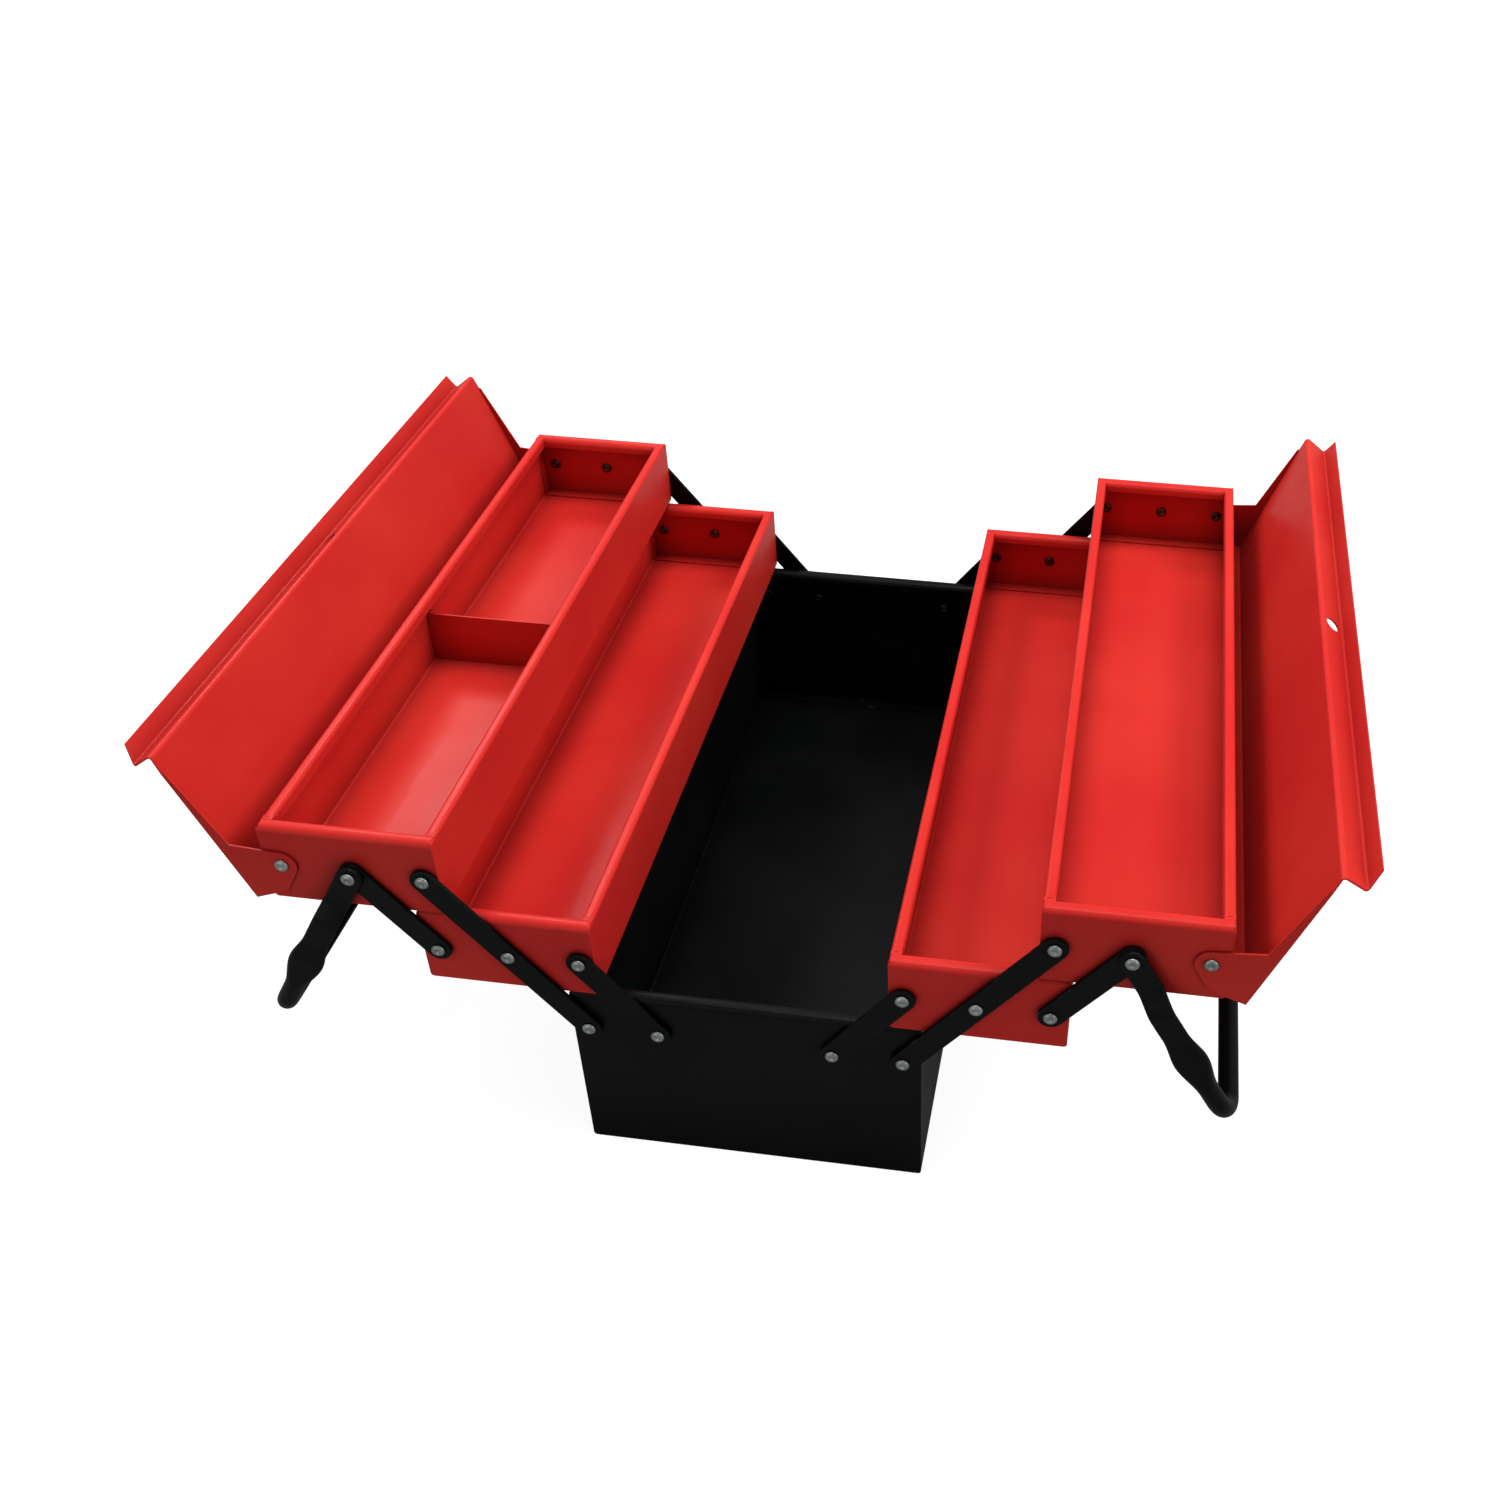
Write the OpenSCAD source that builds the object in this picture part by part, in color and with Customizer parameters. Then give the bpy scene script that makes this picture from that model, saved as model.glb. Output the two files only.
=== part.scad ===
// Five-tray cantilever tool box, standing open.
// X runs across the box, Y along it and Z up. The origin is the middle of the base tray's underside.
// The front end is at -Y. The left side is at -X, and the right side is its mirror image.

/* [Base tray] */
// Outside width of the base tray
base_w = 200; // [190:1:240]
// Outside length of the base tray, and of every tray above it
base_l = 450; // [300:5:600]
// Outside height of the base tray
base_h = 125; // [90:1:180]

/* [Trays] */
// Outside height of the middle and upper trays
tray_h = 50.5; // [46:0.5:70]
// Gap between the underside of a tray and the rim it comes down on
stack_gap = 0.5; // [0.3:0.1:1.5]
// Gap between the left and right trays when the box is shut
centre_gap = 4; // [2:0.5:8]
// Height of the loose divider in the left upper tray
divider_h = 36; // [20:1:42]
// Depth of the divider's foot along the tray
divider_foot = 9; // [5:1:15]

/* [Sheet metal] */
// Thickness of the body sheet
sheet_t = 1; // [0.8:0.1:1.2]
// Width of the folded rims along the long walls, seen from above
rim_w = 6.5; // [5.5:0.5:9]
// Width of the rolled rims across the ends, seen from above
roll_w = 9; // [8.5:0.5:12]
// Depth of the turned-down edge of the rims
rim_lip = 7; // [6:0.5:9]
// Inside radius of the folds
fold_r = 1.2; // [0.8:0.1:1.5]
// Inside radius of the rolled rims
roll_r = 3; // [2:0.1:3.5]
// Depth of the flanges that hold the end plates in the shells
end_flange = 9; // [5:1:15]
// Gap between sheets that are spot-welded or riveted together
joint_gap = 0.05; // [0.03:0.01:0.1]

/* [Linkage] */
// Distance from a tray's outer wall to its first rivet
rivet_edge = 10; // [9:0.5:12]
// Distance from a tray's inner wall to its last rivet
rivet_inset = 8; // [7:0.5:12]
// Height of the rivets below a tray's rim
rivet_drop = 25.5; // [20:0.5:30]
// Width of the flat links
link_w = 14.5; // [11:0.5:17]
// Thickness of the flat links
link_t = 2.5; // [2:0.1:3]
// Gap between the end plates and the links
link_gap = 0.6; // [0.4:0.1:1]
// Radius of the rivets' shanks
shank_r = 2.5; // [2:0.1:3]
// Radial clearance of the rivets in the links, lids and handles
pivot_play = 0.06; // [0.02:0.01:0.1]
// Radial clearance at the two pivots where the linkage closes on itself
loop_play = 0.4; // [0.3:0.05:0.8]
// Radius of the rivets' outer heads
head_r = 4; // [3.6:0.1:4.5]
// Height of the rivets' outer heads
head_h = 1.8; // [1.2:0.1:1.8]

/* [Lids] */
// How far each lid is turned back from shut, in degrees
lid_open = 111; // [100:1:116]
// Gap between the lid's underside and the path of the tray's rim as the lid turns
lid_seat = 0.3; // [0.2:0.1:1.5]
// Gap between the lid's side wall and the tray's outer wall
lid_side_gap = 6.5; // [3:0.1:8]
// Gap between the lid's ends and the tray's end plates
lid_end_gap = 0.3; // [0.2:0.05:0.5]
// Depth of the lid's end flanges at the ears
lid_flange = 7; // [5:0.5:9]
// Depth of the lid's end flanges where they run out towards the ridge
flange_tip = 2; // [1.5:0.5:5]
// Gap between the open lid's side wall and the tray's wall that stops it
lid_stop_gap = 0.25; // [0.15:0.05:0.5]
// Gap between the two lids when they are shut
lid_meet_gap = 0.8; // [0.4:0.1:2]
// Half the width of the raised ridge along the lid's free edge
ridge_w = 10.8; // [9:0.2:14]
// Height of the raised ridge
ridge_h = 16; // [14:0.2:20]
// How far the ridge's side leans over the panel
ridge_lean = 5.2; // [2:0.2:6]
// Rise of the ridge's roof towards its free edge
ridge_rise = 3; // [1:0.5:4]
// Setback of the ridge's foot from the lid's ends
ridge_inset = 0.8; // [0.5:0.1:4]
// Angle of the cut across the ridge's front end, seen from above, in degrees
ridge_slant = 28; // [0:1:35]
// Angle at which that cut leans back over the lid, in degrees
ridge_tilt = 18; // [0:1:25]
// Length of the cut-back corner between the end flange and the ridge
corner_cut = 11; // [8:0.5:14]
// Radius of the round tab about the lid's rivet
ear_r = 8.6; // [7.5:0.1:9]
// Diameter of the padlock holes
padlock_d = 10; // [7:0.5:11]

/* [Handles] */
// Distance from the handle's rivets to the middle of its grip
handle_reach = 122; // [115:1:135]
// Outside diameter of the handle's tube
tube_d = 11.5; // [10:0.5:12.5]
// Radius of the handle's bends, along the middle of the tube
tube_bend = 16; // [13:1:22]
// Width of the tube's flattened and trimmed ends
eye_w = 14.5; // [13:0.5:16]
// Thickness of the flattened ends
eye_t = 3.2; // [2.5:0.1:4]
// Length of the straight flat end, from the rivet
eye_l = 33; // [26:1:40]
// Length of the outward joggle from the flat end to the middle of the tube
joggle_l = 28; // [20:1:34]
// Greatest width of the tube where the flattening starts
flare_w = 18; // [16:0.5:20]
// Thickness of the tube at its greatest width
flare_t = 7; // [5:0.5:9]
// Distance from the rivet to the tube's greatest width
flare_at = 77; // [75:1:84]
// Distance from the rivet to where the tube is round
round_at = 95; // [88:1:98]
// Gap between the links' rivet heads and the handle's legs
leg_gap = 0.5; // [0.3:0.1:1]
// Gap between the hanging handle and the walls of the shut box
handle_gap = 4.6; // [3:0.1:8]

/* [Hidden] */
$fn = 48;

red = [0.82, 0.13, 0.15];
black = [0.07, 0.07, 0.08];
zinc = [0.62, 0.64, 0.63];

// Stack: each tray stands one rise above the one below, shut or open, and moves out by one rivet pitch.
tray_w = (base_w - centre_gap) / 2;
rise = tray_h + stack_gap;
rivet_pitch = (tray_w - rivet_edge - rivet_inset) / 2;
travel = rivet_pitch;

// Places in the XZ plane on the left side, with the box open.
base_out = [-base_w / 2 + rivet_edge, base_h - rivet_drop];
base_in = base_out + [rivet_pitch, 0];
step_out = [-travel, rise];
mid_hub = base_out + step_out;
mid_in = mid_hub + [rivet_pitch, 0];
mid_out = mid_hub - [rivet_pitch, 0];
upper_hub = mid_hub + step_out;
handle_hub = upper_hub - [rivet_pitch, 0];
lid_hub = handle_hub - [rivet_pitch, 0];
tray_corner = [-rivet_edge, rivet_drop - tray_h];
mid_corner = mid_out + tray_corner;
upper_corner = lid_hub + tray_corner;

// Layers outside the end plates, measured outwards from the plates' faces.
end_y = base_l / 2;
link_in = link_gap;
link_out = link_gap + link_t;
rivet_gap = 0.1;
eye_gap = 0.2;
eye_in = link_out + eye_gap;
eye_out = eye_in + eye_t;
leg_in = link_out + rivet_gap + head_h + leg_gap;
tube_axis = leg_in + tube_d / 2;
lid_in = lid_end_gap;
lid_out = lid_end_gap + sheet_t;

fold_mid = fold_r + sheet_t / 2;
fold_steps = 6;
cut = 1;

// Direction of the heading a, and the direction to its left.
function ahead(a) = [cos(a), sin(a)];
function aside(a) = [-sin(a), cos(a)];
function heading(p, q) = atan2(q[1] - p[1], q[0] - p[0]);
function wrap(a) = a > 180 ? a - 360 : a < -180 ? a + 360 : a;

// One fold of the sheet's middle line at vertex i: points with their headings, turned about one centre.
function fold(pts, i, r) =
    let (a = heading(pts[i - 1], pts[i]))
    let (turn = wrap(heading(pts[i], pts[i + 1]) - a))
    let (side = sign(turn))
    let (start = pts[i] - ahead(a) * r * tan(abs(turn) / 2))
    let (centre = start + aside(a) * r * side)
    [for (k = [0:fold_steps]) let (b = a + turn * k / fold_steps) [centre - aside(b) * r * side, b]];

// The sheet's middle line with every inner vertex folded.
function folded(pts, r) = concat(
    [[pts[0], heading(pts[0], pts[1])]],
    [for (i = [1:len(pts) - 2]) each fold(pts, i, r)],
    [[pts[len(pts) - 1], heading(pts[len(pts) - 2], pts[len(pts) - 1])]]
);

// Outline of a folded sheet seen edge-on.
module sheet_outline(pts, t, r) {
    line = folded(pts, r);
    one_face = [for (s = line) s[0] + aside(s[1]) * t / 2];
    other_face = [for (i = [len(line) - 1:-1:0]) line[i][0] - aside(line[i][1]) * t / 2];
    polygon(concat(one_face, other_face));
}

// Stands an XZ outline up and runs it along Y, over the given length about the middle.
module along_y(length) {
    rotate([90, 0, 0])
        linear_extrude(length, center = true)
            children();
}

// An XZ outline as a plate outside the front end plate, from one layer to another.
module front_layer(from, to) {
    translate([0, -end_y - from, 0])
        rotate([90, 0, 0])
            linear_extrude(to - from)
                children();
}

// The same on the front or the rear end.
module on_end(front) {
    if (front) children();
    else mirror([0, 1, 0]) children();
}

// The mirror image of a left-hand piece.
module on_right() {
    mirror([1, 0, 0]) children();
}

// Trough of one bent sheet: floor, two long walls and their folded rims, with its lower left corner at 0, 0.
module trough(w, h) {
    m = sheet_t / 2;
    hem_end = [rim_w - m, h - rim_lip];
    path = [hem_end, [rim_w - m, h - m], [m, h - m], [m, m], [w - m, m], [w - m, h - m],
            [w - rim_w + m, h - m], [w - rim_w + m, h - rim_lip]];
    hem_w = rim_w - sheet_t + cut;
    hem_stop = roll_w + joint_gap;
    difference() {
        along_y(base_l - 2 * (sheet_t + joint_gap)) sheet_outline(path, sheet_t, fold_mid);
        for (x = [sheet_t, w - sheet_t - hem_w])
            for (y = [-end_y - cut, end_y - hem_stop])
                translate([x, y, h - rim_lip - cut])
                    cube([hem_w, hem_stop + cut, rim_lip + 2 * cut]);
    }
}

// Front end plate of a trough: a plate with a rolled rim along its top and flanges inside the shell.
module end_plate(w, h, holes) {
    m = sheet_t / 2;
    inner = sheet_t + joint_gap;
    corner = fold_r + sheet_t;
    roll_out = roll_r + sheet_t;
    rim = [[m, h - 2 * roll_out], [m, h - m], [roll_w - m, h - m], [roll_w - m, h - rim_lip]];
    difference() {
        union() {
            translate([0, -end_y + sheet_t, 0])
                rotate([90, 0, 0])
                    linear_extrude(sheet_t)
                        plate_outline(w, h - roll_out, corner);
            translate([0, -end_y, 0])
                rotate([90, 0, 90])
                    linear_extrude(w)
                        sheet_outline(rim, sheet_t, roll_r + m);
            translate([corner + joint_gap, -end_y + m, inner])
                cube([w - 2 * (corner + joint_gap), end_flange - m, sheet_t]);
            for (x = [inner, w - inner - sheet_t])
                translate([x, -end_y + m, corner + joint_gap])
                    cube([sheet_t, end_flange - m, h - corner - 2 * rim_lip]);
        }
        // Room for the shell's long walls behind the plate.
        for (x = [-cut, w - inner])
            translate([x, -end_y + inner, -cut])
                cube([inner + cut, roll_w + end_flange, h + 2 * cut]);
        for (p = holes)
            translate([p[0], -end_y - cut, p[1]])
                rotate([-90, 0, 0])
                    cylinder(h = sheet_t + 2 * cut, r = shank_r + joint_gap);
    }
}

// Face of an end plate, with its lower corners rounded like the shell's folds.
module plate_outline(w, h, r) {
    translate([0, r]) square([w, h - r]);
    translate([r, 0]) square([w - 2 * r, r + sheet_t]);
    for (x = [r, w - r])
        translate([x, r]) circle(r);
}

// Rivet at XZ place p of the front end plate, clenched over a layer that ends at the height grip.
module rivet(p, collar, grip) {
    tail_h = 1.4;
    tail_r = 3.6;
    collar_r = 4.4;
    dimple_r = 1.3;
    dimple_h = 0.7;
    foot = grip + rivet_gap;
    dome = [for (a = [0:15:75]) [head_r * cos(a), foot + head_h * sin(a)]];
    translate([p[0], -end_y, p[1]])
        rotate([90, 0, 0])
            rotate_extrude()
                polygon(concat(
                    [[0, -sheet_t - tail_h], [tail_r - 0.8, -sheet_t - tail_h], [tail_r, -sheet_t - 0.6],
                     [tail_r, -sheet_t - joint_gap], [shank_r, -sheet_t - joint_gap], [shank_r, joint_gap],
                     [collar_r, joint_gap], [collar_r, collar - rivet_gap], [shank_r, collar - rivet_gap],
                     [shank_r, foot]],
                    dome,
                    [[dimple_r, foot + head_h], [0, foot + head_h - dimple_h]]
                ));
}

// Flat link with round ends from place p to place q, with a bore of the given radius at each place.
module link(p, q, bores) {
    span = norm(q - p);
    difference() {
        translate([p[0], -end_y - link_in, p[1]])
            rotate([90, 0, 0]) {
                rotate([0, 0, heading(p, q)])
                    translate([0, -link_w / 2, 0])
                        cube([span, link_w, link_t]);
                cylinder(h = link_t, d = link_w);
                translate([q[0] - p[0], q[1] - p[1], 0])
                    cylinder(h = link_t, d = link_w);
            }
        for (b = bores)
            translate([b[0][0], -end_y + cut, b[0][1]])
                rotate([90, 0, 0])
                    cylinder(h = link_out + 2 * cut, r = b[1]);
    }
}

// Lid sizes about its rivet, shut: outwards from the box is -X and up is +Y of the drawing plane.
lid_edge = -rivet_edge - lid_side_gap - sheet_t;
lid_top = norm([rivet_edge, rivet_drop]) + lid_seat + sheet_t;
lid_free = base_w / 2 - rivet_edge - lid_meet_gap / 2;
ridge_root = lid_free - ridge_w + ridge_lean;
flange_stop = ridge_root - corner_cut;
// Height of the side wall: it meets the tray's outer wall when the lid is turned back to lid_open.
wall_reach = -lid_edge * cos(lid_open) + lid_top * sin(lid_open);
lid_wall = (wall_reach - rivet_edge - lid_stop_gap) / sin(lid_open);

// Turns a lid outline back to its open place on its rivet.
module at_lid() {
    translate([lid_hub[0], 0, lid_hub[1]])
        rotate([0, -lid_open, 0])
            children();
}

// Where the flange's edge from place p runs into the round tab, just inside its circle, on the given side.
function tab_touch(p, side) =
    let (r = ear_r - joint_gap)
    let (a = atan2(p[1], p[0]) + side * acos(r / norm(p)))
    r * ahead(a);

// End flange of the lid with the ear that carries the rivet.
module lid_end_outline() {
    shoulder = [lid_edge, rivet_drop - 18];
    throat = [20, lid_top - lid_flange];
    difference() {
        union() {
            circle(ear_r);
            polygon([
                [lid_edge, lid_top], shoulder, tab_touch(shoulder, 1), [0, 0],
                tab_touch(throat, -1), throat, [flange_stop, lid_top - flange_tip],
                [flange_stop, lid_top]
            ]);
        }
        circle(shank_r + pivot_play);
    }
}

// Lid of one bent sheet: side wall, panel and ridge, with a flange and an ear at each end.
module lid() {
    m = sheet_t / 2;
    lid_l = base_l + 2 * lid_out;
    path = [[lid_edge + m, lid_top - lid_wall], [lid_edge + m, lid_top - m], [ridge_root, lid_top - m],
            [lid_free - ridge_w, lid_top + ridge_h - m], [lid_free, lid_top + ridge_h + ridge_rise - m]];
    inset_y = lid_l / 2 - ridge_inset;
    reach_x = lid_free + cut;
    at_lid() difference() {
        union() {
            along_y(lid_l) sheet_outline(path, sheet_t, fold_mid);
            for (front = [true, false])
                on_end(front) front_layer(lid_in, lid_out) lid_end_outline();
        }
        for (front = [true, false])
            on_end(front)
                translate([0, 0, lid_top - lid_flange - cut])
                    linear_extrude(lid_flange + ridge_h + ridge_rise + 3 * cut)
                        polygon([[flange_stop, -lid_l / 2], [ridge_root, -inset_y], [reach_x, -inset_y],
                                 [reach_x, -lid_l / 2 - cut], [flange_stop, -lid_l / 2 - cut]]);
        // Slanting cut across the ridge's front end.
        translate([ridge_root, -inset_y, lid_top])
            rotate([-ridge_tilt, 0, ridge_slant])
                translate([-ridge_w, -3 * ridge_w, -sheet_t - cut])
                    cube([3 * ridge_w, 3 * ridge_w, 2 * (ridge_h + ridge_rise)]);
        translate([ridge_root - ridge_lean / 2, 0, lid_top + ridge_h / 2 - m])
            rotate([0, 90 - atan(ridge_lean / ridge_h), 0])
                cylinder(h = 4 * sheet_t, d = padlock_d, center = true);
    }
}

// Handle: grip held this far outwards from straight down, so that it clears the shut box.
handle_hang = asin((rivet_edge + rivet_pitch + tube_d / 2 + handle_gap) / handle_reach);

// Thin slice of the leg at distance d from the rivet, with rounded edges, centred on the layer y.
module leg_slice(d, w, t, y) {
    slice = 0.2;
    translate([0, -end_y - y, -d])
        for (x = [t / 2 - w / 2, w / 2 - t / 2])
            translate([x, 0, 0]) cylinder(h = slice, d = t, $fn = 32);
}

// One leg of the handle, hanging along -Z from its rivet, with the bend into the grip.
module handle_leg() {
    joggle_end = eye_l + joggle_l;
    leg_end = handle_reach - tube_bend;
    difference() {
        union() {
            translate([0, -end_y - eye_in, 0])
                rotate([90, 0, 0])
                    cylinder(h = eye_t, d = eye_w);
            translate([-eye_w / 2, -end_y - eye_out, -eye_l])
                cube([eye_w, eye_t, eye_l]);
            hull() {
                leg_slice(eye_l, eye_w, eye_t, (eye_in + eye_out) / 2);
                leg_slice(joggle_end, eye_w, eye_t, tube_axis);
            }
            hull() {
                leg_slice(joggle_end, eye_w, eye_t, tube_axis);
                leg_slice(flare_at, flare_w, flare_t, tube_axis);
            }
            hull() {
                leg_slice(flare_at, flare_w, flare_t, tube_axis);
                leg_slice(round_at, tube_d, tube_d, tube_axis);
            }
            translate([0, -end_y - tube_axis, -leg_end])
                cylinder(h = leg_end - round_at, d = tube_d);
            translate([0, -end_y - tube_axis + tube_bend, -leg_end])
                rotate([0, 90, 0])
                    rotate([0, 0, 270])
                        rotate_extrude(angle = 90)
                            translate([tube_bend, 0])
                                circle(d = tube_d);
        }
        translate([0, -end_y + cut, 0])
            rotate([90, 0, 0])
                cylinder(h = eye_out + 2 * cut, r = shank_r + pivot_play);
    }
}

module handle() {
    grip_l = base_l + 2 * (tube_axis - tube_bend);
    translate([handle_hub[0], 0, handle_hub[1]])
        rotate([0, handle_hang, 0]) {
            for (front = [true, false])
                on_end(front) handle_leg();
            translate([0, 0, -handle_reach])
                rotate([90, 0, 0])
                    cylinder(h = grip_l, d = tube_d, center = true);
        }
}

module tray_shell(corner) {
    translate([corner[0], 0, corner[1]]) trough(tray_w, tray_h);
}

module tray_end(corner, front) {
    holes = [for (k = [0:2]) [rivet_edge + k * rivet_pitch, tray_h - rivet_drop]];
    translate([corner[0], 0, corner[1]])
        on_end(front) end_plate(tray_w, tray_h, holes);
}

module base_end(front) {
    holes = [for (x = [base_out[0], base_in[0], -base_in[0], -base_out[0]]) [x + base_w / 2, base_out[1]]];
    translate([-base_w / 2, 0, 0])
        on_end(front) end_plate(base_w, base_h, holes);
}

module rivets(places, collar, grip) {
    for (front = [true, false])
        on_end(front)
            for (p = places) rivet(p, collar, grip);
}

module long_link(front) {
    bores = [for (p = [base_out, mid_hub, upper_hub]) [p, shank_r + pivot_play]];
    on_end(front) link(base_out, upper_hub, bores);
}

// A short link turns on its lower rivet. The linkage closes on itself at its upper one.
module short_link(low, front) {
    bores = [[low, shank_r + pivot_play], [low + step_out, shank_r + loop_play]];
    on_end(front) link(low, low + step_out, bores);
}

module divider() {
    side_gap = 0.4;
    inner_w = tray_w - 2 * (sheet_t + side_gap);
    tab = 7;
    x0 = upper_corner[0] + sheet_t + side_gap;
    z0 = upper_corner[1] + sheet_t + joint_gap;
    floor_in = fold_r + side_gap;
    translate([x0, -sheet_t / 2, z0 + fold_r]) cube([inner_w, sheet_t, divider_h - fold_r]);
    translate([x0 + floor_in, -sheet_t / 2, z0]) cube([inner_w - 2 * floor_in, divider_foot, sheet_t]);
    translate([x0 + floor_in, -sheet_t / 2, z0]) cube([inner_w - 2 * floor_in, sheet_t, divider_h]);
    for (x = [x0, x0 + inner_w - sheet_t])
        translate([x, -sheet_t / 2, z0 + fold_r]) cube([sheet_t, tab, divider_h - 2 * fold_r]);
}

module upper_tray_rivets() {
    rivets([upper_hub], link_in, link_out);
    rivets([handle_hub], link_in, eye_out);
}

module base_shell() {
    color(black) translate([-base_w / 2, 0, 0]) trough(base_w, base_h);
}

module base_front_end() {
    color(black) base_end(true);
}

module base_rear_end() {
    color(black) base_end(false);
}

module base_rivets() {
    color(zinc) {
        rivets([base_out, base_in], link_in, link_out);
        on_right() rivets([base_out, base_in], link_in, link_out);
    }
}

module left_mid_shell() {
    color(red) tray_shell(mid_corner);
}

module left_mid_front_end() {
    color(red) tray_end(mid_corner, true);
}

module left_mid_rear_end() {
    color(red) tray_end(mid_corner, false);
}

module left_mid_rivets() {
    color(zinc) rivets([mid_in, mid_hub, mid_out], link_in, link_out);
}

module left_upper_shell() {
    color(red) tray_shell(upper_corner);
}

module left_upper_front_end() {
    color(red) tray_end(upper_corner, true);
}

module left_upper_rear_end() {
    color(red) tray_end(upper_corner, false);
}

module left_upper_rivets() {
    color(zinc) upper_tray_rivets();
}

module left_upper_divider() {
    color(red) divider();
}

module left_lid_rivets() {
    color(zinc) rivets([lid_hub], lid_in, lid_out);
}

module left_lid() {
    color(red) lid();
}

module left_handle() {
    color(black) handle();
}

module left_long_link_front() {
    color(black) long_link(true);
}

module left_long_link_rear() {
    color(black) long_link(false);
}

module left_lower_link_front() {
    color(black) short_link(base_in, true);
}

module left_lower_link_rear() {
    color(black) short_link(base_in, false);
}

module left_upper_link_front() {
    color(black) short_link(mid_out, true);
}

module left_upper_link_rear() {
    color(black) short_link(mid_out, false);
}

module right_mid_shell() {
    color(red) on_right() tray_shell(mid_corner);
}

module right_mid_front_end() {
    color(red) on_right() tray_end(mid_corner, true);
}

module right_mid_rear_end() {
    color(red) on_right() tray_end(mid_corner, false);
}

module right_mid_rivets() {
    color(zinc) on_right() rivets([mid_in, mid_hub, mid_out], link_in, link_out);
}

module right_upper_shell() {
    color(red) on_right() tray_shell(upper_corner);
}

module right_upper_front_end() {
    color(red) on_right() tray_end(upper_corner, true);
}

module right_upper_rear_end() {
    color(red) on_right() tray_end(upper_corner, false);
}

module right_upper_rivets() {
    color(zinc) on_right() upper_tray_rivets();
}

module right_lid_rivets() {
    color(zinc) on_right() rivets([lid_hub], lid_in, lid_out);
}

module right_lid() {
    color(red) on_right() lid();
}

module right_handle() {
    color(black) on_right() handle();
}

module right_long_link_front() {
    color(black) on_right() long_link(true);
}

module right_long_link_rear() {
    color(black) on_right() long_link(false);
}

module right_lower_link_front() {
    color(black) on_right() short_link(base_in, true);
}

module right_lower_link_rear() {
    color(black) on_right() short_link(base_in, false);
}

module right_upper_link_front() {
    color(black) on_right() short_link(mid_out, true);
}

module right_upper_link_rear() {
    color(black) on_right() short_link(mid_out, false);
}

base_shell();
base_front_end();
base_rear_end();
base_rivets();
left_mid_shell();
left_mid_front_end();
left_mid_rear_end();
left_mid_rivets();
left_upper_shell();
left_upper_front_end();
left_upper_rear_end();
left_upper_rivets();
left_lid_rivets();
left_upper_divider();
left_lid();
left_handle();
left_long_link_front();
left_long_link_rear();
left_lower_link_front();
left_lower_link_rear();
left_upper_link_front();
left_upper_link_rear();
right_mid_shell();
right_mid_front_end();
right_mid_rear_end();
right_mid_rivets();
right_upper_shell();
right_upper_front_end();
right_upper_rear_end();
right_upper_rivets();
right_lid_rivets();
right_lid();
right_handle();
right_long_link_front();
right_long_link_rear();
right_lower_link_front();
right_lower_link_rear();
right_upper_link_front();
right_upper_link_rear();
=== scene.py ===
import math

import bmesh
import bpy
from mathutils import Matrix, Vector


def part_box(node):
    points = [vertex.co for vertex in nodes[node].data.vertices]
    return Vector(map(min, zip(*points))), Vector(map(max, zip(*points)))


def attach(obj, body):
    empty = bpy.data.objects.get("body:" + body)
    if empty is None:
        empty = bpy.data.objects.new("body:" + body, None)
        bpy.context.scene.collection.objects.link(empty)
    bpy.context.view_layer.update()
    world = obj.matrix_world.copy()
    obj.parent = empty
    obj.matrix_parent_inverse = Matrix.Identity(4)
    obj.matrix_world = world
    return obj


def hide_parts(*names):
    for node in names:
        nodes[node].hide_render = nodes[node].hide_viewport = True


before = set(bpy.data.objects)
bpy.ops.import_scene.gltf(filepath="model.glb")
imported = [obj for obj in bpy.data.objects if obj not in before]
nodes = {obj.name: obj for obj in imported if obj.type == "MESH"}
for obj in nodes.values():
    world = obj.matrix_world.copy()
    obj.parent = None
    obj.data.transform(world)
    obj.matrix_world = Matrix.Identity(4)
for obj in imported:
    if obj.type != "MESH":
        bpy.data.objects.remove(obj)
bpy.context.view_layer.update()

# ---------------------------------------------------------------- base tray
# The base tray is one trough of 1 mm steel sheet, folded at the press brake, with a pressed end plate
# spot-welded into each end. It is sprayed with gloss black enamel and stoved, which leaves a faint
# orange peel and a thinner coat along the sheared edges, painted lighter there, partly as a painted
# highlight.


def wire(tree, source, target):
    tree.links.new(source, target)


def add(tree, kind, at, **values):
    node = tree.nodes.new(kind)
    node.location = at
    for key, value in values.items():
        setattr(node, key, value)
    return node


def noise(tree, coords, at, scale, detail, seed=0.0):
    node = add(tree, "ShaderNodeTexNoise", at, noise_dimensions="4D")
    node.inputs["Scale"].default_value = scale
    node.inputs["Detail"].default_value = detail
    node.inputs["W"].default_value = seed
    wire(tree, coords, node.inputs["Vector"])
    return node.outputs["Fac"]


def ramp(tree, value, at, stops):
    node = add(tree, "ShaderNodeValToRGB", at)
    elements = node.color_ramp.elements
    while len(elements) < len(stops):
        elements.new(0.5)
    for element, (place, colour) in zip(elements, stops):
        element.position = place
        element.color = (*colour, 1.0)
    wire(tree, value, node.inputs["Fac"])
    return node.outputs["Color"]


def between(tree, value, at, old, new):
    """The value, with the range old stretched onto the range new."""
    node = add(tree, "ShaderNodeMapRange", at)
    for socket, number in zip(("From Min", "From Max", "To Min", "To Max"), (*old, *new)):
        node.inputs[socket].default_value = number
    wire(tree, value, node.inputs["Value"])
    return node.outputs["Result"]


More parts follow.
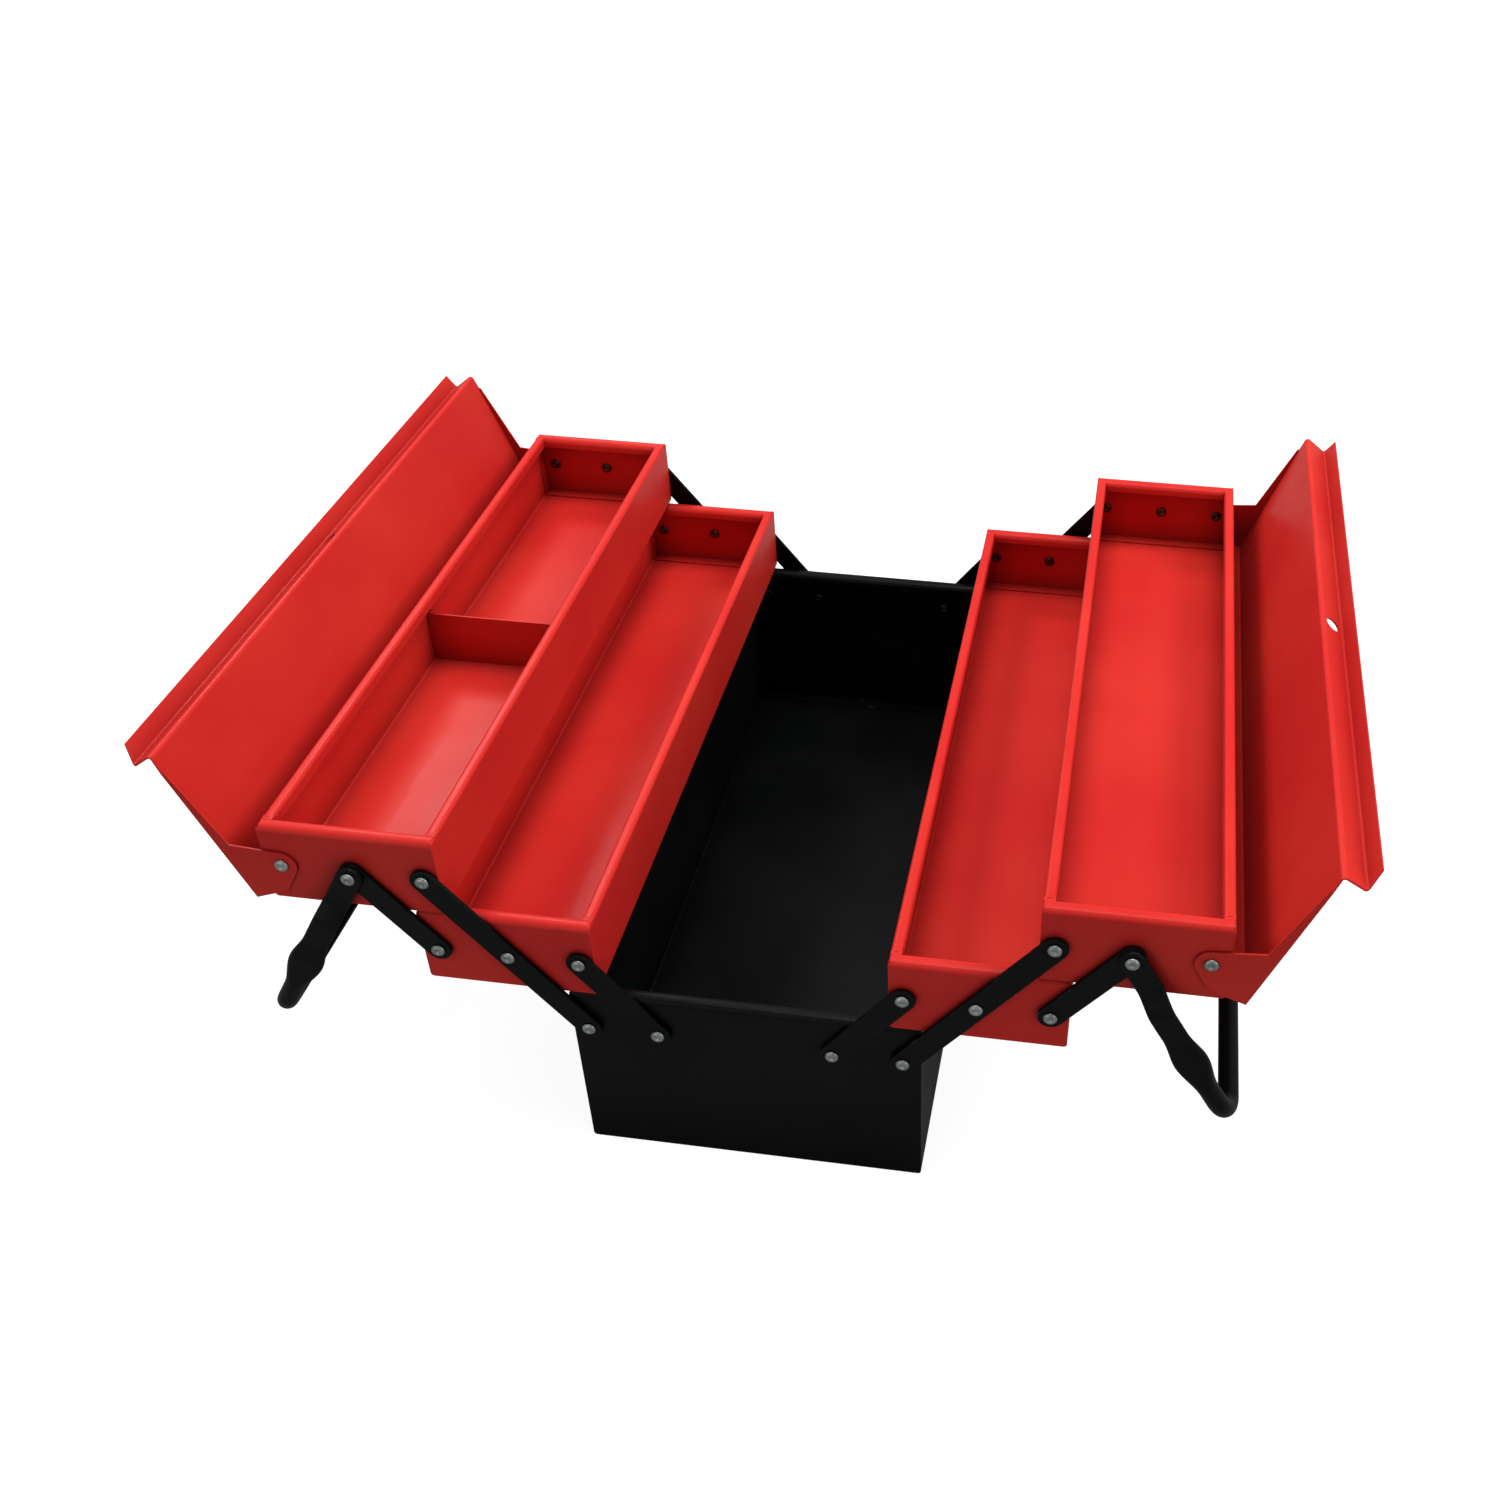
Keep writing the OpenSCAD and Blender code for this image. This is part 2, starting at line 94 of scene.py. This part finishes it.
def maths(tree, operation, one, other, at):
    """Two values joined by one operation: other is a socket or a plain number."""
    node = add(tree, "ShaderNodeMath", at, operation=operation)
    wire(tree, one, node.inputs[0])
    if isinstance(other, float):
        node.inputs[1].default_value = other
    else:
        wire(tree, other, node.inputs[1])
    return node.outputs["Value"]


def tint(tree, share, under, colour, at, blend="MIX"):
    """The colour under, with a plain colour laid over it by its share."""
    colour_a, colour_b, colour_out = 6, 7, 2
    node = add(tree, "ShaderNodeMix", at, data_type="RGBA", blend_type=blend)
    wire(tree, share, node.inputs["Factor"])
    wire(tree, under, node.inputs[colour_a])
    node.inputs[colour_b].default_value = (*colour, 1.0)
    return node.outputs[colour_out]


def bump(tree, height, at, strength, distance, under=None):
    node = add(tree, "ShaderNodeBump", at)
    node.inputs["Strength"].default_value = strength
    node.inputs["Distance"].default_value = distance
    wire(tree, height, node.inputs["Height"])
    if under is not None:
        wire(tree, under, node.inputs["Normal"])
    return node.outputs["Normal"]


def enamel(name, full, lean_and_highlight, bare, specular):
    """Stoved gloss enamel: full is the coat's colour, lean_and_highlight where it lies thin and where sharp
    edges are painted lighter as a painted highlight, bare the metal at a chip.
    """
    mat = bpy.data.materials.new(name)
    mat.use_nodes = True
    tree = mat.node_tree
    shader = tree.nodes["Principled BSDF"]
    place = add(tree, "ShaderNodeTexCoord", (-1500, 0)).outputs["Object"]
    cloud = noise(tree, place, (-1300, 300), scale=9.0, detail=3.0)
    coat = ramp(tree, cloud, (-1080, 300), [(0.32, lean_and_highlight), (0.6, full)])

    # The coat pulls back from sharp edges, which are painted lighter, partly for the thinner coat and
    # partly as a painted highlight along the edges; a few edges are rubbed.
    true_normal = add(tree, "ShaderNodeNewGeometry", (-1500, -350)).outputs["Normal"]
    rounded = add(tree, "ShaderNodeBevel", (-1500, -150), samples=4)
    rounded.inputs["Radius"].default_value = 0.0012
    facing = add(tree, "ShaderNodeVectorMath", (-1300, -250), operation="DOT_PRODUCT")
    wire(tree, true_normal, facing.inputs[0])
    wire(tree, rounded.outputs["Normal"], facing.inputs[1])
    flat_to_sharp = (0.995, 0.86)
    thin_coat_and_highlight = between(tree, facing.outputs["Value"], (-1080, -80), flat_to_sharp, (0.0, 0.55))
    rim = between(tree, facing.outputs["Value"], (-1080, -250), flat_to_sharp, (0.0, 1.0))
    rub = noise(tree, place, (-1300, -450), scale=55.0, detail=5.0, seed=3.0)
    patches = between(tree, rub, (-1080, -450), (0.62, 0.72), (0.0, 1.0))
    rubbed = maths(tree, "MULTIPLY", rim, patches, (-860, -300))
    # Sharp edges take the lighter colour: partly thin coat, partly painted highlight.
    colour = tint(tree, thin_coat_and_highlight, coat, lean_and_highlight, (-640, 200))
    colour = tint(tree, rubbed, colour, bare, (-420, 200))

    # Painted shade: the colour is multiplied darker in inside corners and creases, where shade falls, as
    # found by ambient occlusion.
    shade_occlusion = add(tree, "ShaderNodeAmbientOcclusion", (-640, 480), samples=4)
    shade_occlusion.inputs["Distance"].default_value = 0.024
    painted_shade = between(tree, shade_occlusion.outputs["AO"], (-420, 480), (0.30, 0.95), (0.85, 0.0))
    # Darkens the enamel by occlusion: painted shade.
    colour = tint(tree, painted_shade, colour, (0.30, 0.28, 0.28), (-200, 300), blend="MULTIPLY")
    wire(tree, colour, shader.inputs["Base Color"])

    # Handling leaves faint smears in the gloss.
    smear = noise(tree, place, (-860, -600), scale=26.0, detail=6.0, seed=7.0)
    gloss = between(tree, smear, (-640, -600), (0.35, 0.75), (0.34, 0.46))
    wire(tree, gloss, shader.inputs["Roughness"])

    # Orange peel over the slow waves of pressed sheet.
    waves = noise(tree, place, (-860, -850), scale=7.0, detail=1.0, seed=11.0)
    grains = noise(tree, place, (-860, -1050), scale=620.0, detail=2.0, seed=13.0)
    sheet = bump(tree, waves, (-420, -850), strength=0.12, distance=0.004)
    peel = bump(tree, grains, (-200, -850), strength=0.10, distance=0.0002, under=sheet)
    wire(tree, peel, shader.inputs["Normal"])
    shader.inputs["Specular IOR Level"].default_value = specular
    shader.inputs["Coat Weight"].default_value = 0.03
    shader.inputs["Coat Roughness"].default_value = 0.12
    return mat


def spray(names, material):
    for name in names:
        nodes[name].material_slots[0].material = material


black = enamel(
    "black_enamel", full=(0.0024, 0.0029, 0.0031), lean_and_highlight=(0.0055, 0.006, 0.0065),
    bare=(0.16, 0.16, 0.16), specular=0.06)
spray(["base_shell", "base_front_end", "base_rear_end"], black)

# ---------------------------------------------------------------- middle and upper trays
# Four shallow trays of the same build, one trough and two pressed ends each, in gloss red enamel. Their
# end rims are rolled round and their long rims folded down inside.
red = enamel(
    "red_enamel", full=(0.61, 0.022, 0.019), lean_and_highlight=(0.66, 0.034, 0.024),
    bare=(0.34, 0.20, 0.19), specular=0.08)
trays = [f"{side}_{level}_{part}" for side in ("left", "right") for level in ("mid", "upper")
         for part in ("shell", "front_end", "rear_end")]
spray(trays, red)

# Where each folded rim runs up against the rolled end, the corner is closed with solder and dressed flush.
rim_width, rim_depth, hem_end, roll_crown = 0.0065, 0.0070, 0.2144, 0.2188
dressed_off, dressed_round = 0.0002, 0.0006


def new_piece(name, bm, material, smooth=True):
    mesh = bpy.data.meshes.new(name)
    bm.to_mesh(mesh)
    bm.free()
    for face in mesh.polygons:
        face.use_smooth = smooth
    piece = bpy.data.objects.new(name, mesh)
    bpy.context.scene.collection.objects.link(piece)
    mesh.materials.append(material)
    return piece


def soldered_corners(shell, name, material, body):
    low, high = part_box(shell)
    size = (rim_width - 2 * dressed_off, roll_crown - hem_end, rim_depth - dressed_off)
    middle_y = (hem_end + roll_crown) / 2
    middle_z = high[2] - dressed_off - size[2] / 2
    bm = bmesh.new()
    for x in (low[0] + rim_width / 2, high[0] - rim_width / 2):
        for end in (-1, 1):
            stand = Matrix.LocRotScale(Vector((x, end * middle_y, middle_z)), None, size)
            block = bmesh.ops.create_cube(bm, size=1.0, matrix=stand)
            edges = list({e for v in block["verts"] for e in v.link_edges})
            bmesh.ops.bevel(bm, geom=edges, affect="EDGES", offset=dressed_round, segments=3, profile=0.5,
                            material=-1)
    piece = new_piece(name, bm, material)
    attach(piece, body)


soldered_corners("base_shell", "base_corners", black, "base")
for side in ("left", "right"):
    for level in ("mid", "upper"):
        tray = f"{side}_{level}"
        soldered_corners(f"{tray}_shell", f"{tray}_corners", red, f"{tray}_tray")

# ---------------------------------------------------------------- divider
# A loose divider of the same red sheet stands across the left upper tray on its folded foot, held by
# its side tabs.
spray(["left_upper_divider"], red)

# ---------------------------------------------------------------- lids
# Each lid is one sheet bent into a side wall, a panel and a ridge along the free edge, with ears at its
# ends that turn on the tray's rivets. A padlock hole is punched through the ridge.
spray(["left_lid", "right_lid"], red)

# ---------------------------------------------------------------- links
# Flat steel bars with round ends, blanked, drilled and tumbled, which rounds their edges, in the black
# enamel of the base. They turn on rivets and carry the trays.
link_width, link_bore, tumbled = 0.0145, 0.00256, 0.00045
tumble_steps = 4


def circle(bm, radius, place):
    made = bmesh.ops.create_circle(bm, segments=32, radius=radius, matrix=place)
    return made["verts"]


def edges_of(verts):
    return list({e for v in verts for e in v.link_edges})


def section(bm, width, depth, stand):
    """A flattened ring: round where width and depth agree, a slot with round ends where they don't."""
    half_step = math.pi / 32
    verts = circle(bm, depth / 2, Matrix.Rotation(half_step, 4, "Z"))
    for v in verts:
        v.co.x += math.copysign((width - depth) / 2, v.co.x)
    bmesh.ops.transform(bm, matrix=stand, verts=verts)
    return edges_of(verts)


def link_bar(name, rise, bores):
    """One bar, built flat along X and stood in its place: rise is 1 where it climbs towards +X, or -1.
    The bores' places are shares of its length between the outer two, from the middle."""
    low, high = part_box(name)
    thick = high[1] - low[1]
    run, climb = high[0] - low[0] - link_width, high[2] - low[2] - link_width
    span = math.hypot(run, climb)
    turns = [math.pi / 2 * k / tumble_steps for k in range(tumble_steps + 1)]
    profile = [(tumbled * (1 - math.sin(turn)), tumbled * (1 - math.cos(turn))) for turn in turns]
    profile += [(inset, thick - height) for inset, height in reversed(profile)]
    bm = bmesh.new()
    rings = []
    for inset, height in profile:
        width = link_width - 2 * inset
        rings.append(section(bm, span + width, width, Matrix.Translation((0, 0, height))))
    for one, other in zip(rings, rings[1:]):
        bmesh.ops.bridge_loops(bm, edges=one + other)
    flats = [rings[0][:], rings[-1][:]]
    for place in bores:
        wall = []
        for height, flat in zip((0.0, thick), flats):
            ring = edges_of(circle(bm, link_bore, Matrix.Translation((place * span, 0, height))))
            wall += ring
            flat += ring
        bmesh.ops.bridge_loops(bm, edges=wall)
    for flat in flats:
        bmesh.ops.triangle_fill(bm, edges=flat, use_beauty=True, use_dissolve=False)
    slope = Matrix.Rotation(-rise * math.atan2(climb, run), 4, "Y")
    on_edge = Matrix.Rotation(math.pi / 2, 4, "X") @ Matrix.Translation((0, 0, -thick / 2))
    stand = Matrix.Translation((low + high) / 2) @ slope @ on_edge
    bmesh.ops.transform(bm, matrix=stand, verts=bm.verts[:])
    bmesh.ops.recalc_face_normals(bm, faces=bm.faces[:])
    piece = new_piece(f"{name}_bar", bm, black)
    for face in piece.data.polygons:
        face.use_smooth = abs(face.normal.y) < 0.999
    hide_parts(name)
    return piece


ends_only, ends_and_middle = (-0.5, 0.5), (-0.5, 0.0, 0.5)
for side, rise in (("left", -1), ("right", 1)):
    for kind, bores in (("long", ends_and_middle), ("lower", ends_only), ("upper", ends_only)):
        for end in ("front", "rear"):
            bar = link_bar(f"{side}_{kind}_link_{end}", rise, bores)
            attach(bar, f"{side}_{kind}_links")

# ---------------------------------------------------------------- rivets
# Zinc-plated semi-tubular rivets. The outer head is a low dome with a dimple, a collar spaces the link
# off the plate, and the hollow tail is rolled over inside the tray, where its colour is painted much darker
# as painted shade.


def plated(name, dull, bright):
    mat = bpy.data.materials.new(name)
    mat.use_nodes = True
    tree = mat.node_tree
    shader = tree.nodes["Principled BSDF"]
    place = add(tree, "ShaderNodeTexCoord", (-1100, 0)).outputs["Object"]
    spangle = noise(tree, place, (-900, 200), scale=160.0, detail=3.0)
    wire(tree, ramp(tree, spangle, (-680, 200), [(0.3, dull), (0.7, bright)]), shader.inputs["Base Color"])
    haze = noise(tree, place, (-900, -100), scale=320.0, detail=4.0, seed=2.0)
    gloss = between(tree, haze, (-680, -100), (0.3, 0.7), (0.28, 0.5))
    wire(tree, gloss, shader.inputs["Roughness"])
    grains = noise(tree, place, (-900, -350), scale=900.0, detail=3.0, seed=5.0)
    pitted = bump(tree, grains, (-450, -350), strength=0.25, distance=0.0001)
    wire(tree, pitted, shader.inputs["Normal"])
    shader.inputs["Metallic"].default_value = 1.0
    return mat


zinc = plated("zinc_plate", dull=(0.20, 0.22, 0.21), bright=(0.38, 0.41, 0.39))
# A much darker zinc for the tails inside the trays: painted shade.
tail_shade_zinc = plated("painted_shade_tail", dull=(0.035, 0.030, 0.028), bright=(0.09, 0.08, 0.075))
end_plate_y = 0.225


def rivet(bm, x, z, collar, grip, end):
    """One rivet at x, z of an end plate: end is -1 at the front and 1 at the rear; heights are outwards."""
    foot = grip + 0.0001
    tail = [(0.0, -0.0018), (0.0007, -0.0019), (0.0013, -0.0023), (0.0019, -0.0025), (0.0027, -0.0024),
            (0.0034, -0.0020), (0.0036, -0.0016), (0.0036, -0.00105), (0.0025, -0.00105)]
    washer = [(0.0025, 0.00005), (0.0043, 0.00005), (0.0044, 0.00012), (0.0044, collar - 0.00012)]
    shank = [(0.0025, collar - 0.0001), (0.0025, foot)]
    head = [(0.0038, 0.0), (0.0040, 0.0002), (0.00395, 0.0006), (0.0036, 0.0011), (0.0031, 0.00145),
            (0.0025, 0.0017), (0.0020, 0.0018), (0.0016, 0.00174), (0.0013, 0.0015), (0.0010, 0.0012),
            (0.0005, 0.00108), (0.0, 0.00105)]
    profile = tail + washer + shank + [(radius, foot + height) for radius, height in head]
    turned = bmesh.new()
    ring = [turned.verts.new((radius, 0.0, height)) for radius, height in profile]
    for low, high in zip(ring, ring[1:]):
        turned.edges.new((low, high))
    bmesh.ops.spin(turned, geom=turned.verts[:] + turned.edges[:], cent=(0, 0, 0), axis=(0, 0, 1),
                   dvec=(0, 0, 0), angle=math.tau, steps=36, use_merge=True, use_duplicate=False)
    bmesh.ops.remove_doubles(turned, verts=turned.verts[:], dist=0.000001)
    bmesh.ops.recalc_face_normals(turned, faces=turned.faces[:])
    stand = Matrix.Translation((x, end * end_plate_y, z)) @ Matrix.Rotation(-end * math.pi / 2, 4, "X")
    bmesh.ops.transform(turned, matrix=stand, verts=turned.verts[:])
    done = bpy.data.meshes.new("turned")
    turned.to_mesh(done)
    turned.free()
    for face in done.polygons:
        # Faces inside the end plates take the darker tail colour, which is painted shade.
        face.material_index = int(abs(face.center.y) < end_plate_y)
    bm.from_mesh(done)
    bpy.data.meshes.remove(done)


def rivet_group(name, places, replaced, body):
    """places: x, z, collar height and grip of each rivet, set at both ends of the box."""
    bm = bmesh.new()
    for x, z, collar, grip in places:
        for end in (-1, 1):
            rivet(bm, x, z, collar, grip, end)
    piece = new_piece(name, bm, zinc)
    piece.data.materials.append(tail_shade_zinc)
    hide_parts(replaced)
    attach(piece, body)


base_row, mid_row, upper_row = 0.0995, 0.1505, 0.2015
over_link, over_handle, over_lid = 0.0031, 0.0065, 0.0013
collar, lid_collar = 0.0006, 0.0003
base_places = [(s * x, base_row, collar, over_link) for s in (-1, 1) for x in (0.050, 0.090)]
rivet_group("base_rivet_set", base_places, "base_rivets", "base")
for side, s in (("left", -1), ("right", 1)):
    mid_places = [(s * x, mid_row, collar, over_link) for x in (0.090, 0.130, 0.170)]
    rivet_group(f"{side}_mid_rivet_set", mid_places, f"{side}_mid_rivets", f"{side}_mid_tray")
    upper_places = [(s * 0.170, upper_row, collar, over_link), (s * 0.210, upper_row, collar, over_handle)]
    rivet_group(f"{side}_upper_rivet_set", upper_places, f"{side}_upper_rivets", f"{side}_upper_tray")
    lid_places = [(s * 0.250, upper_row, lid_collar, over_lid)]
    rivet_group(f"{side}_lid_rivet_set", lid_places, f"{side}_lid_rivets", f"{side}_upper_tray")

# ---------------------------------------------------------------- handles
# Each handle is a bent steel tube. Its ends are pressed flat, which first widens them, then trimmed to
# a strip, set in towards the tray and drilled for the rivet. They carry the same black enamel.
handle_pivot, reach = 0.210, 0.122
tube, tube_bend, tube_layer = 0.0115, 0.016, 0.01125
strip_w, strip_t, strip_layer = 0.0145, 0.0032, 0.0049
flare_w, flare_t = 0.0195, 0.0070
strip_end, joggle_end, flare_start, flare_end, round_end = 0.020, 0.038, 0.053, 0.073, 0.096
pivot_to_wall, lid_and_gap = 0.050, 0.0046
hang = math.asin((pivot_to_wall + tube / 2 + lid_and_gap) / reach)
ease_steps, bend_steps = 8, 12


def ease(u):
    return u * u * (3 - 2 * u)


def blend(first, last, u):
    return first + u * (last - first)


def along_leg(distance, layer):
    return Matrix.Translation((0, -end_plate_y - layer, -distance))


def leg_stations():
    """Distance from the pivot, width, thickness and layer of the sections along one leg."""
    stations = []
    for distance in (-0.0070, -0.0066, -0.0056, -0.0041, -0.0021):
        width = 2 * math.sqrt((strip_w / 2) ** 2 - distance ** 2)
        stations.append((distance, width, strip_t, strip_layer))
    stations += [(0.0, strip_w, strip_t, strip_layer), (0.010, strip_w, strip_t, strip_layer)]
    for k in range(ease_steps + 1):
        u = k / ease_steps
        layer = blend(strip_layer, tube_layer, ease(u))
        stations.append((blend(strip_end, joggle_end, u), strip_w, strip_t, layer))
    for k in range(ease_steps + 1):
        u = k / ease_steps
        width, thick = blend(strip_w, flare_w, ease(u)), blend(strip_t, flare_t, ease(u))
        stations.append((blend(flare_start, flare_end, u), width, thick, tube_layer))
    for k in range(1, ease_steps + 1):
        u = k / ease_steps
        width, thick = blend(flare_w, tube, ease(u)), blend(flare_t, tube, ease(u))
        stations.append((blend(flare_end, round_end, u), width, thick, tube_layer))
    return stations


def handle(side, s):
    bm = bmesh.new()
    rings = [section(bm, max(width, thick), thick, along_leg(distance, layer))
             for distance, width, thick, layer in leg_stations()]
    corner = Matrix.Translation((0, -end_plate_y - tube_layer + tube_bend, tube_bend - reach))
    for k in range(bend_steps + 1):
        turn = Matrix.Rotation(math.pi / 2 * k / bend_steps, 4, "X")
        rings.append(section(bm, tube, tube, corner @ turn @ Matrix.Translation((0, -tube_bend, 0))))
    for y in (-0.15, -0.075, 0.0):
        stand = Matrix.Translation((0, y, -reach)) @ Matrix.Rotation(math.pi / 2, 4, "X")
        rings.append(section(bm, tube, tube, stand))
    for one, other in zip(rings, rings[1:]):
        bmesh.ops.bridge_loops(bm, edges=one + other)
    bmesh.ops.contextual_create(bm, geom=rings[0])
    bmesh.ops.mirror(bm, geom=bm.verts[:] + bm.edges[:] + bm.faces[:], axis="Y", merge_dist=0.00001)
    bmesh.ops.remove_doubles(bm, verts=bm.verts[:], dist=0.00001)
    stand = Matrix.Translation((-handle_pivot, 0, upper_row)) @ Matrix.Rotation(hang, 4, "Y")
    bmesh.ops.transform(bm, matrix=stand, verts=bm.verts[:])
    if s > 0:
        bmesh.ops.transform(bm, matrix=Matrix.Scale(-1, 4, (1, 0, 0)), verts=bm.verts[:])
    bmesh.ops.recalc_face_normals(bm, faces=bm.faces[:])
    piece = new_piece(f"{side}_bail", bm, black)
    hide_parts(f"{side}_handle")
    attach(piece, f"{side}_handle")


handle("left", -1)
handle("right", 1)

# ---------------------------------------------------------------- floor, light and camera
# A plain white floor in a soft white room, lit from above and both sides, with a harder lamp at the back
# left and two weak ones low in front.
white = (1.0, 1.0, 1.0, 1.0)


def pale_floor():
    """Nearly white to the camera, dim to the enamel's reflections, and shaded under the box."""
    mat = bpy.data.materials.new("pale_floor")
    mat.use_nodes = True
    tree = mat.node_tree
    shader = tree.nodes["Principled BSDF"]
    shader.inputs["Base Color"].default_value = (0.32, 0.32, 0.32, 1.0)
    shader.inputs["Roughness"].default_value = 0.9
    shader.inputs["Specular IOR Level"].default_value = 0.1
    rays = add(tree, "ShaderNodeLightPath", (-800, -200))
    mirrored = maths(tree, "MULTIPLY", rays.outputs["Is Glossy Ray"], 0.08, (-600, -300))
    seen = maths(tree, "MAXIMUM", rays.outputs["Is Camera Ray"], mirrored, (-400, -200))
    level = maths(tree, "MULTIPLY", seen, 0.92, (-200, -200))
    shader.inputs["Emission Color"].default_value = white
    wire(tree, level, shader.inputs["Emission Strength"])
    return mat


bm = bmesh.new()
bmesh.ops.create_grid(bm, x_segments=1, y_segments=1, size=8.0)
bmesh.ops.translate(bm, vec=(0, 0, -0.0003), verts=bm.verts[:])
floor = new_piece("floor", bm, pale_floor(), smooth=False)

world = bpy.data.worlds.new("white_room")
bpy.context.scene.world = world
world.use_nodes = True
tree = world.node_tree
rays = add(tree, "ShaderNodeLightPath", (-900, 200))
through = rays.outputs["Is Transmission Ray"]
seen = maths(tree, "MAXIMUM", rays.outputs["Is Camera Ray"], through, (-700, 200))
mirrored = maths(tree, "MULTIPLY", rays.outputs["Is Glossy Ray"], 0.35, (-700, 0))
shown = maths(tree, "MAXIMUM", seen, mirrored, (-500, 200))
room = tree.nodes["Background"]
room.inputs["Color"].default_value = white
room_light, room_white = 0.18, 1.0
strength = between(tree, shown, (-300, 200), (0.0, 1.0), (room_light, room_white))
wire(tree, strength, room.inputs["Strength"])
lamps_aim = Vector((0.0, 0.0, 0.15))


def softbox(name, place, width, depth, watts):
    lamp = bpy.data.lights.new(name, "AREA")
    lamp.shape = "RECTANGLE"
    lamp.size, lamp.size_y = width, depth
    lamp.energy = watts
    holder = bpy.data.objects.new(name, lamp)
    bpy.context.scene.collection.objects.link(holder)
    holder.location = place
    holder.rotation_mode = "QUATERNION"
    holder.rotation_quaternion = (lamps_aim - Vector(place)).to_track_quat("-Z", "Y")


softbox("overhead", (0.05, 0.05, 1.95), 0.9, 0.9, watts=19.5)
softbox("key_lamp", (-0.85, 1.15, 1.50), 0.45, 0.45, watts=12.0)
softbox("right_lamp", (1.20, 0.25, 1.55), 0.7, 0.8, watts=18.0)
softbox("left_lamp", (-1.15, 0.30, 1.60), 0.8, 0.8, watts=3.0)
softbox("right_front_lamp", (1.40, -1.00, 0.60), 0.8, 0.8, watts=3.5)
softbox("low_front_lamp", (-0.70, -1.50, 0.45), 0.8, 0.8, watts=2.5)

# The lens is shifted, as on a view camera, for a box that stands low and left of the lens's axis.
image_px, focal_px, axis_x, axis_y = 1500, 1627.3, 954.2, 669.5
pan, tilt, roll = math.radians(7.157), math.radians(90 - 36.194), math.radians(0.928)
lens = bpy.data.cameras.new("camera")
camera = bpy.data.objects.new("camera", lens)
bpy.context.scene.collection.objects.link(camera)
lens.sensor_width = 36.0
lens.lens = 36.0 * focal_px / image_px
lens.shift_x = (image_px / 2 - axis_x) / image_px
lens.shift_y = (axis_y - image_px / 2) / image_px
lens.clip_start, lens.clip_end = 0.05, 50.0
camera.location = (0.18986, -0.82102, 0.81202)
camera.rotation_mode = "QUATERNION"
facing = Matrix.Rotation(pan, 3, "Z") @ Matrix.Rotation(tilt, 3, "X") @ Matrix.Rotation(roll, 3, "Z")
camera.rotation_quaternion = facing.to_quaternion()
bpy.context.scene.camera = camera
bpy.context.scene.view_settings.view_transform = "Standard"
